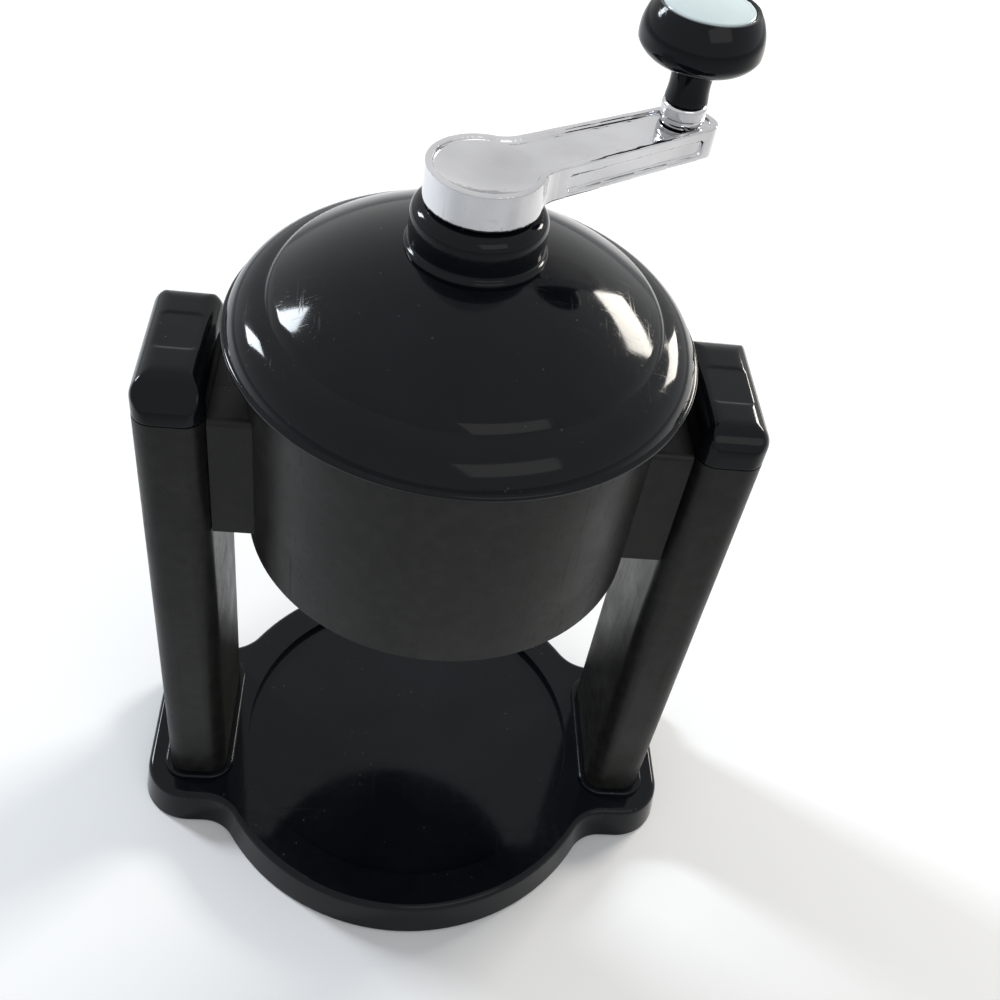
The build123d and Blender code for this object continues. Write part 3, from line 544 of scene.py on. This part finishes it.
# ---------------------------------------------------------------- lid
@dataclass
class LidUnit:
    """Domed lid with its creased flange, and the turret that carries the crank."""

    rim_r: float = 65.3
    rim_z: float = 208.4
    rim_edge: float = 1.1
    lip_r: float = 63.0
    lip_z: float = 206.0
    wall: float = 2.5
    crease: Step = (53.7, 218.7)
    flange_mid: Step = (60.95, 215.05)
    dome_r: float = 91.7
    dome_z: float = 145.468
    hole_r: float = 13.9
    turret_r: float = 17.9
    turret_lip: float = 0.85
    turret_top: float = 248.6
    turret_edge: float = 4.2
    spigot_r: float = 13.8
    spigot_z: float = 230.1
    bore_r: float = 9.52
    key_half: float = 4.0
    pad_half: float = 8.0

    def dome(self, radius: float, inset: float = 0.0) -> Step:
        """Point of the dome's face, or of its inside, at a radius."""
        return radius, self.dome_z + math.sqrt((self.dome_r - inset) ** 2 - radius ** 2)

    def shell(self) -> bpy.types.Object:
        """Model the lid as a closed shell with a rounded rim and a softened crease."""
        start = (self.rim_r - self.rim_edge, self.rim_z + self.rim_edge)
        flange = bow(start, self.flange_mid, self.crease, 12)
        inner_crease = (52.39, 217.67)
        eased = [(self.crease[0] - 0.05, self.crease[1] + 0.12)]
        outside = [self.dome(self.crease[0] + (self.hole_r - self.crease[0]) * i / 30) for i in range(1, 31)]
        inside = [self.dome(self.hole_r + (inner_crease[0] - self.hole_r) * i / 20, self.wall) for i in range(21)]
        steps = [(self.lip_r - self.wall, self.lip_z + 0.3), (self.lip_r - self.wall + 0.3, self.lip_z),
                 (self.lip_r - 0.4, self.lip_z), (self.lip_r - 0.1, self.lip_z + 0.15),
                 (self.lip_r, self.lip_z + 0.5), (self.lip_r, self.rim_z - self.rim_edge - 0.25),
                 (self.lip_r + 0.2, self.rim_z - self.rim_edge)]
        steps += bow((start[0], self.rim_z - self.rim_edge), (self.rim_r, self.rim_z), start, 8)
        steps += flange[1:-1] + eased + outside + inside
        steps += bow(inner_crease, (56.9, 214.44), (self.lip_r - self.wall, 210.9), 6)[1:]
        steps.append(steps[0])
        lid = round_piece("lid_shell", steps, around=144)
        for turn in (0.0, math.pi / 2):
            lid = carve(lid, self.pad(turn), "UNION")
        return settled(lid)

    def pad(self, turn: float) -> bpy.types.Object:
        """Model one pair of pads that rest on the hopper's rim, and the keys under the front and rear pair."""
        bar = block("pad", (-self.pad_half, -62.4, 209.0), (self.pad_half, 62.4, 216.5))
        if turn == 0.0:
            bar = carve(bar, block("key", (-self.key_half, -62.4, 204.4), (self.key_half, 62.4, 209.5)), "UNION")
        bar = carve(bar, drum(54.6, 200.0, 220.0))
        keep = drum(57.6, 200.0, 209.0)
        keep = carve(keep, drum(59.05, 208.9, 220.0), "UNION")
        bar = carve(bar, keep, "INTERSECT")
        form = round_piece("form", [(0.1, 200.0), (61.0, 200.0), (61.0, 211.5)]
                           + bow((61.0, 211.5), (57.6, 215.0), (53.0, 218.6), 8)[1:] + [(0.1, 219.0)])
        bar = carve(bar, form, "INTERSECT")
        bar.rotation_euler[2] = turn
        return settled(bar)

    def collar(self) -> bpy.types.Object:
        """Model the turret: bottom lip, slightly waisted wall, rounded shoulder and spigot."""
        foot = self.turret_r + self.turret_lip
        seat = self.dome(foot)[1]
        shoulder = self.turret_top - self.turret_edge
        top_r = self.turret_r - self.turret_edge
        skew = self.turret_edge * (1.0 - math.sqrt(0.5))
        steps = [(self.bore_r, self.spigot_z), (self.spigot_r, self.spigot_z), self.dome(self.spigot_r),
                 (foot - 0.3, seat), (foot - 0.05, seat + 0.2)]
        steps += bow((foot, seat + 0.5), (foot - 0.12, seat + 1.6), (foot - 0.6, seat + 2.0), 5)
        steps += [(self.turret_r + 0.05, seat + 2.15), (self.turret_r - 0.12, seat + 2.6)]
        steps += bow((self.turret_r - 0.15, seat + 3.2), (self.turret_r - 0.02, seat + 6.0),
                     (self.turret_r, shoulder), 5)
        steps += bow((self.turret_r, shoulder), (self.turret_r - skew, self.turret_top - skew),
                     (top_r, self.turret_top), 10)[1:]
        steps += [(self.bore_r + 0.3, self.turret_top), (self.bore_r, self.turret_top - 0.3),
                  (self.bore_r, self.spigot_z)]
        return round_piece("turret_collar", steps)

    def build(self, palette: "Palette") -> None:
        """Model the pieces and let them ride on the lid's body."""
        lid = self.shell()
        collar = self.collar()
        for obj, node in ((lid, "lid"), (collar, "turret")):
            palette.dress(obj, Slot.GLOSS_BLACK)
            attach(obj, Body.LID.value)
            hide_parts(node)
            report(obj)


# ---------------------------------------------------------------- crank
@dataclass
class CrankUnit:
    """Cast crank with its dished hub and sunk arm, and the bright ferrule under the handle."""

    turn_deg: float = 32.8
    hub_r: float = 15.2
    low: float = 249.5
    arm_low: float = 250.4
    top: float = 259.3
    root_half: float = 9.5
    tip_half: float = 7.6
    throw: float = 63.7
    over: float = 9.6
    corner: float = 4.5
    blend: float = 8.0
    rim: float = 1.9
    sunk: float = 0.9
    dish: float = 2.3
    panel: tuple[float, float, float, float] = (19.5, 66.5, 252.0, 256.4)
    panel_deep: float = 0.8
    ferrule_r: float = 6.2
    ferrule_top: float = 264.7
    pin_r: float = 3.0

    def plan(self, inset: float, low: float, high: float) -> bpy.types.Object:
        """Raise the plan of hub and arm, drawn in by an inset, between two heights.

        Args:
            inset: How far the outline is drawn in.
            low: Lower height.
            high: Upper height.

        Returns:
            The solid, its arm along +X.
        """
        end = self.throw + self.over - inset
        root = self.root_half - inset
        tip = self.tip_half - inset
        arm = block("arm", (0.0, -root, low), (end, root, high))
        take(arm)
        bpy.ops.object.mode_set(mode="EDIT")
        bpy.ops.mesh.select_mode(type="VERT")
        bpy.ops.mesh.select_all(action="DESELECT")
        bpy.ops.object.mode_set(mode="OBJECT")
        for v in arm.data.vertices:
            v.select = v.co.x > end * MM / 2
        bpy.ops.object.mode_set(mode="EDIT")
        bpy.ops.transform.resize(value=(1.0, tip / root, 1.0), center_override=(end * MM, 0.0, low * MM))
        bpy.ops.object.mode_set(mode="OBJECT")
        round_edges(arm, lambda mid, way: mid.x > end - 1 and abs(way.z) > 0.9, self.corner - inset / 2)
        blend = self.blend + inset
        hub_r = self.hub_r - inset
        side = root - 0.25
        reach = math.sqrt((hub_r + blend) ** 2 - (side + blend) ** 2)
        shoulder = hub_r / (hub_r + blend) * (side + blend)
        body = drum(hub_r, low, high, around=128)
        body = carve(body, block("web", (0.0, -shoulder, low), (reach, shoulder, high)), "UNION")
        for sign in (-1.0, 1.0):
            body = carve(body, drum(blend, low - 1.0, high + 1.0, (reach, sign * (side + blend)), 128))
        body = carve(body, arm, "UNION")
        body.name = "crank_casting"
        body.data.name = body.name
        return body

    def casting(self) -> bpy.types.Object:
        """Model the crank with soft rims, a dish in its hub and long side panels."""
        body = self.plan(0.0, self.arm_low, self.top)
        body = carve(body, drum(self.hub_r, self.low, self.arm_low + 1.0, around=128), "UNION")
        body = carve(body, self.plan(self.rim, self.top - self.sunk, self.top + 2.0))
        dish_r = self.hub_r - self.rim
        ball_r = (dish_r ** 2 + self.dish ** 2) / (2.0 * self.dish)
        clear()
        bpy.ops.mesh.primitive_uv_sphere_add(segments=128, ring_count=192, radius=ball_r * MM,
                                             location=(0.0, 0.0, (self.top - self.sunk - self.dish + ball_r) * MM))
        ball = bpy.context.object
        bpy.ops.object.transform_apply(location=True, rotation=True, scale=True)
        ball = carve(ball, drum(dish_r, self.low, self.top + 2.0), "INTERSECT")
        body = carve(body, ball)
        x0, x1, z0, z1 = self.panel
        lean = math.atan2(self.root_half - self.tip_half, self.throw + self.over)
        for sign in (-1.0, 1.0):
            groove = block("panel", (x0, -self.panel_deep, z0), (x1, self.panel_deep, z1))
            round_edges(groove, lambda mid, way: abs(way.y) > 0.9, 1.2, 4)
            groove.rotation_euler[2] = -sign * lean
            groove.location = (0.0, sign * self.root_half * MM, 0.0)
            take(groove)
            bpy.ops.object.transform_apply(location=True, rotation=True, scale=True)
            body = carve(body, groove)
        body = soften(body, 0.3, 5)
        return self.swung(body)

    def swung(self, obj: bpy.types.Object) -> bpy.types.Object:
        """Swing a piece drawn with the arm along +X to where the arm points."""
        obj.rotation_euler[2] = math.radians(self.turn_deg)
        return settled(obj)

    def ferrule(self) -> bpy.types.Object:
        """Model the bright collar with its fine groove."""
        r = self.ferrule_r
        z = self.top
        steps = [(self.pin_r, z - 0.4), (r - 0.5, z - 0.4), (r - 0.5, z), (r - 0.1, z + 0.5), (r, z + 1.0)]
        steps += [(r, z + 1.7), (r - 0.35, z + 1.95), (r - 0.35, z + 2.35), (r, z + 2.6), (r, z + 4.2)]
        steps += bow((r, z + 4.2), (r - 0.3, z + 5.1), (r - 0.9, self.ferrule_top), 5)[1:]
        steps += [(self.pin_r, self.ferrule_top), (self.pin_r, z - 0.4)]
        at = (self.throw * math.cos(math.radians(self.turn_deg)), self.throw * math.sin(math.radians(self.turn_deg)))
        return round_piece("ferrule_collar", steps, at, 72)

    def build(self, palette: "Palette") -> None:
        """Model the pieces and let them ride on the crank's body."""
        for obj, node in ((self.casting(), "crank_arm"), (self.ferrule(), "handle_ferrule")):
            palette.dress(obj, Slot.CHROME)
            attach(obj, Body.CRANK.value)
            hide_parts(node)
            report(obj)


# ---------------------------------------------------------------- knob
@dataclass
class KnobUnit:
    """Mushroom knob on its neck, with the bare pale disc in its top."""

    at: Step = (53.5442, 34.5072)
    foot_z: float = 264.9
    neck_r: float = 5.8
    under_z: float = 275.5
    waist_z: float = 280.1
    top_z: float = 290.4
    widest_r: float = 16.3
    disc_r: float = 12.0
    disc_low: float = 289.0
    crown: float = 0.7
    bore_r: float = 3.05

    def grip(self) -> bpy.types.Object:
        """Model the knob as one turned form with a seat for the disc."""
        n = self.neck_r
        w = self.widest_r
        steps = [(self.bore_r, self.foot_z), (n - 0.2, self.foot_z), (n + 0.1, self.foot_z + 0.3)]
        steps += bow((n + 0.1, self.foot_z + 0.8), (n - 0.25, self.under_z - 5.0), (n + 0.1, self.under_z - 1.2), 6)
        steps += bow((n + 0.1, self.under_z - 1.2), (n + 0.7, self.under_z + 0.05),
                     (n + 2.2, self.under_z + 0.45), 5)[1:]
        steps += bow((n + 2.2, self.under_z + 0.45), (w - 2.6, self.under_z + 1.55), (w, self.waist_z), 12)[1:]
        steps += bow((w, self.waist_z), (w - 0.75, self.top_z - 4.0), (self.disc_r + 1.3, self.top_z), 14)[1:]
        steps += [(self.disc_r + 0.75, self.top_z), (self.disc_r + 0.35, self.top_z - 0.15),
                  (self.disc_r + 0.15, self.top_z - 0.5), (self.disc_r + 0.15, self.disc_low), (0.4, self.disc_low),
                  (0.4, self.disc_low - 1.0), (self.bore_r, self.disc_low - 1.2), (self.bore_r, self.foot_z)]
        return round_piece("knob_grip", steps, self.at)

    def disc(self) -> bpy.types.Object:
        """Model the crowned disc, with a fine step near its edge."""
        r = self.disc_r
        low = self.disc_low + 0.02
        steps = [(r, low), (r, self.top_z - 0.35), (r - 0.15, self.top_z - 0.1), (r - 0.4, self.top_z + 0.02)]
        ball = (r * r + self.crown ** 2) / (2.0 * self.crown)
        crown_at = [r - 0.8, r - 1.15, r - 1.3, r - 2.0] + [r * (1.0 - i / 8) for i in range(2, 8)] + [0.3]
        for i, radius in enumerate(crown_at):
            drop = 0.0 if i < 2 else 0.12
            steps.append((radius, self.top_z + self.crown - ball + math.sqrt(ball ** 2 - radius ** 2) - drop))
        return round_piece("knob_plain_disc", steps, self.at)

    def build(self, palette: "Palette") -> None:
        """Model both pieces and let them ride on the knob's body."""
        for obj, node, slot in ((self.grip(), "knob", Slot.GLOSS_BLACK), (self.disc(), "knob_disc", Slot.PALE_DISC)):
            palette.dress(obj, slot)
            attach(obj, Body.KNOB.value)
            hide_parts(node)
            report(obj)


# ---------------------------------------------------------------- post caps
@dataclass
class CapPair:
    """The arched caps that close the two posts."""

    post_x: float = 77.5
    half_w: float = 10.0
    half_d: float = 25.0
    low: float = 187.0
    high: float = 199.0
    plan_r: float = 6.0
    front_r: float = 8.0
    rear_r: float = 11.5
    panel: tuple[float, float, float, float] = (-6.25, 6.25, -10.0, 6.0)
    panel_deep: float = 0.35

    def cap(self, name: str, side: float) -> bpy.types.Object:
        """Model one cap: a rounded block cut to an arch, with a shallow panel sunk in its top.

        Args:
            name: The piece's name.
            side: 1 for the post on +X, -1 for the other.

        Returns:
            The finished cap.
        """
        w, d = self.half_w, self.half_d
        body = block(name, (-w, -d, self.low), (w, d, self.high))
        round_edges(body, lambda mid, way: mid.z > self.low + 0.1, self.plan_r, 10)
        arch = block("arch", (-w - 2, -d, self.low - 9), (w + 2, d, self.high))
        round_edges(arch, lambda mid, way: abs(way.x) > 0.9 and mid.z > self.low and mid.y < 0, self.front_r, 12)
        round_edges(arch, lambda mid, way: abs(way.x) > 0.9 and mid.z > self.low and mid.y > d - 1, self.rear_r, 14)
        body = carve(body, arch, "INTERSECT")
        x0, x1, y0, y1 = self.panel
        sink = block("sink", (x0, y0, self.high - self.panel_deep), (x1, y1, self.high + 2))
        round_edges(sink, lambda mid, way: abs(way.z) > 0.9, 2.5)
        body = carve(body, sink)
        body = soften(body, 0.32, 12)
        if side < 0:
            body.rotation_euler[2] = math.pi
            body = settled(body)
        body.location = (side * self.post_x * MM, 0.0, 0.0)
        return settled(body)

    def build(self, palette: "Palette") -> None:
        """Model both caps and let them ride on the stand."""
        for name, side, node in (("cap_right", 1.0, "post_cap_right"), ("cap_left", -1.0, "post_cap_left")):
            obj = self.cap(name, side)
            palette.dress(obj, Slot.GLOSS_BLACK)
            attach(obj, Body.STAND.value)
            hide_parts(node)
            report(obj)


# ---------------------------------------------------------------- studio
@dataclass
class Studio:
    """Camera, lamps, floor and world."""

    camera_at: tuple[float, float, float] = (-0.0242926, -0.2591275, 0.4044872)
    camera_turn: tuple[float, float, float] = (44.70287315, -7.53846707, -1.8286708)
    lens_mm: float = 42.2987
    sensor_mm: float = 36.0

    def camera(self) -> None:
        """Place the camera at the photograph's angle."""
        data = bpy.data.cameras.new("Camera")
        data.lens = self.lens_mm
        data.sensor_width = self.sensor_mm
        data.sensor_fit = "HORIZONTAL"
        data.clip_start = 0.01
        obj = bpy.data.objects.new("Camera", data)
        bpy.context.scene.collection.objects.link(obj)
        obj.location = self.camera_at
        obj.rotation_euler = [math.radians(a) for a in self.camera_turn]
        bpy.context.scene.camera = obj

    def lamp(self, name: str, at: tuple[float, float, float], aim: tuple[float, float, float],
             size: tuple[float, float], watts: float, color: tuple[float, float, float]) -> None:
        """Place one rectangular soft lamp.

        Args:
            name: The lamp's name.
            at: Its place.
            aim: The point it faces.
            size: Its two sides in metres.
            watts: Its power.
            color: Its colour.
        """
        data = bpy.data.lights.new(name, "AREA")
        data.shape = "RECTANGLE"
        data.size, data.size_y = size
        data.energy = watts
        data.color = color
        obj = bpy.data.objects.new(name, data)
        bpy.context.scene.collection.objects.link(obj)
        obj.location = at
        obj.rotation_euler = (Vector(aim) - Vector(at)).to_track_quat("-Z", "Y").to_euler()

    def lamps(self) -> None:
        """Place the two window lamps behind the part and the fill in front of it."""
        aim = (0.0, 0.0, 0.17)
        self.lamp("WindowLeft", (-1.015, 0.658, 0.79), aim, (0.20, 0.36), 12.0, (0.86, 0.93, 1.0))
        self.lamp("WindowRear", (0.90, 0.76, 0.694), aim, (0.42, 0.26), 11.0, (1.0, 0.95, 0.86))
        self.lamp("RoomFill", (0.6, -1.2, 1.3), aim, (1.2, 0.8), 4.0, (1.0, 0.97, 0.93))

    def world(self) -> None:
        """Light the world evenly and show it white to the camera and to mirrors."""
        world = bpy.data.worlds.new("Room")
        bpy.context.scene.world = world
        world.use_nodes = True
        tree = world.node_tree
        tree.nodes.clear()
        w = Wiring(tree)
        out = w.add("ShaderNodeOutputWorld")
        mix = w.add("ShaderNodeMixShader")
        soft = w.add("ShaderNodeBackground")
        soft.inputs["Color"].default_value = (0.93, 0.96, 1.0, 1.0)
        soft.inputs["Strength"].default_value = 0.55
        white = w.add("ShaderNodeBackground")
        white.inputs["Color"].default_value = (1.0, 1.0, 1.0, 1.0)
        white.inputs["Strength"].default_value = 1.0
        rays = w.add("ShaderNodeLightPath").outputs
        seen = w.math("MAXIMUM", rays["Is Camera Ray"], rays["Is Glossy Ray"])
        w.join(w.math("MAXIMUM", seen, rays["Is Transmission Ray"]), mix.inputs[0])
        w.join(soft.outputs[0], mix.inputs[1])
        w.join(white.outputs[0], mix.inputs[2])
        w.join(mix.outputs[0], out.inputs["Surface"])

    def floor(self) -> None:
        """Lay a wide pale floor under the feet."""
        bpy.ops.object.select_all(action="DESELECT")
        bpy.ops.mesh.primitive_plane_add(size=8.0, location=(0.0, 0.0, 0.0))
        obj = bpy.context.object
        obj.name = "Floor"
        mat = bpy.data.materials.new("PaleFloor")
        mat.use_nodes = True
        w = Wiring(mat.node_tree)
        shader = mat.node_tree.nodes["Principled BSDF"]
        place = w.add("ShaderNodeTexCoord").outputs["Object"]
        mottled = w.span(w.noise(place, 3.0, 3.0).outputs["Fac"], 0.3, 0.7, 0.88, 0.90)
        color = w.add("ShaderNodeCombineColor")
        for label in ("Red", "Green", "Blue"):
            w.join(mottled, color.inputs[label])
        w.join(color.outputs[0], shader.inputs["Base Color"])
        shader.inputs["Roughness"].default_value = 0.75
        obj.data.materials.append(mat)

    def build(self) -> None:
        """Set the camera, lamps, world and floor, and the plain view transform."""
        bpy.context.scene.view_settings.view_transform = "Standard"
        self.camera()
        self.lamps()
        self.world()
        self.floor()


def main() -> None:
    """Build the studio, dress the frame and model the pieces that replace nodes."""
    logging.basicConfig(level=logging.INFO, format="%(name)s: %(message)s")
    Studio().build()
    palette = Palette()
    palette.mix()
    palette.dress_frame()
    for unit in (LidUnit(), CrankUnit(), KnobUnit(), CapPair()):
        unit.build(palette)
    LOG.info("dressed %d nodes", len(frame["nodes"]))


if __name__ == "__main__":
    main()
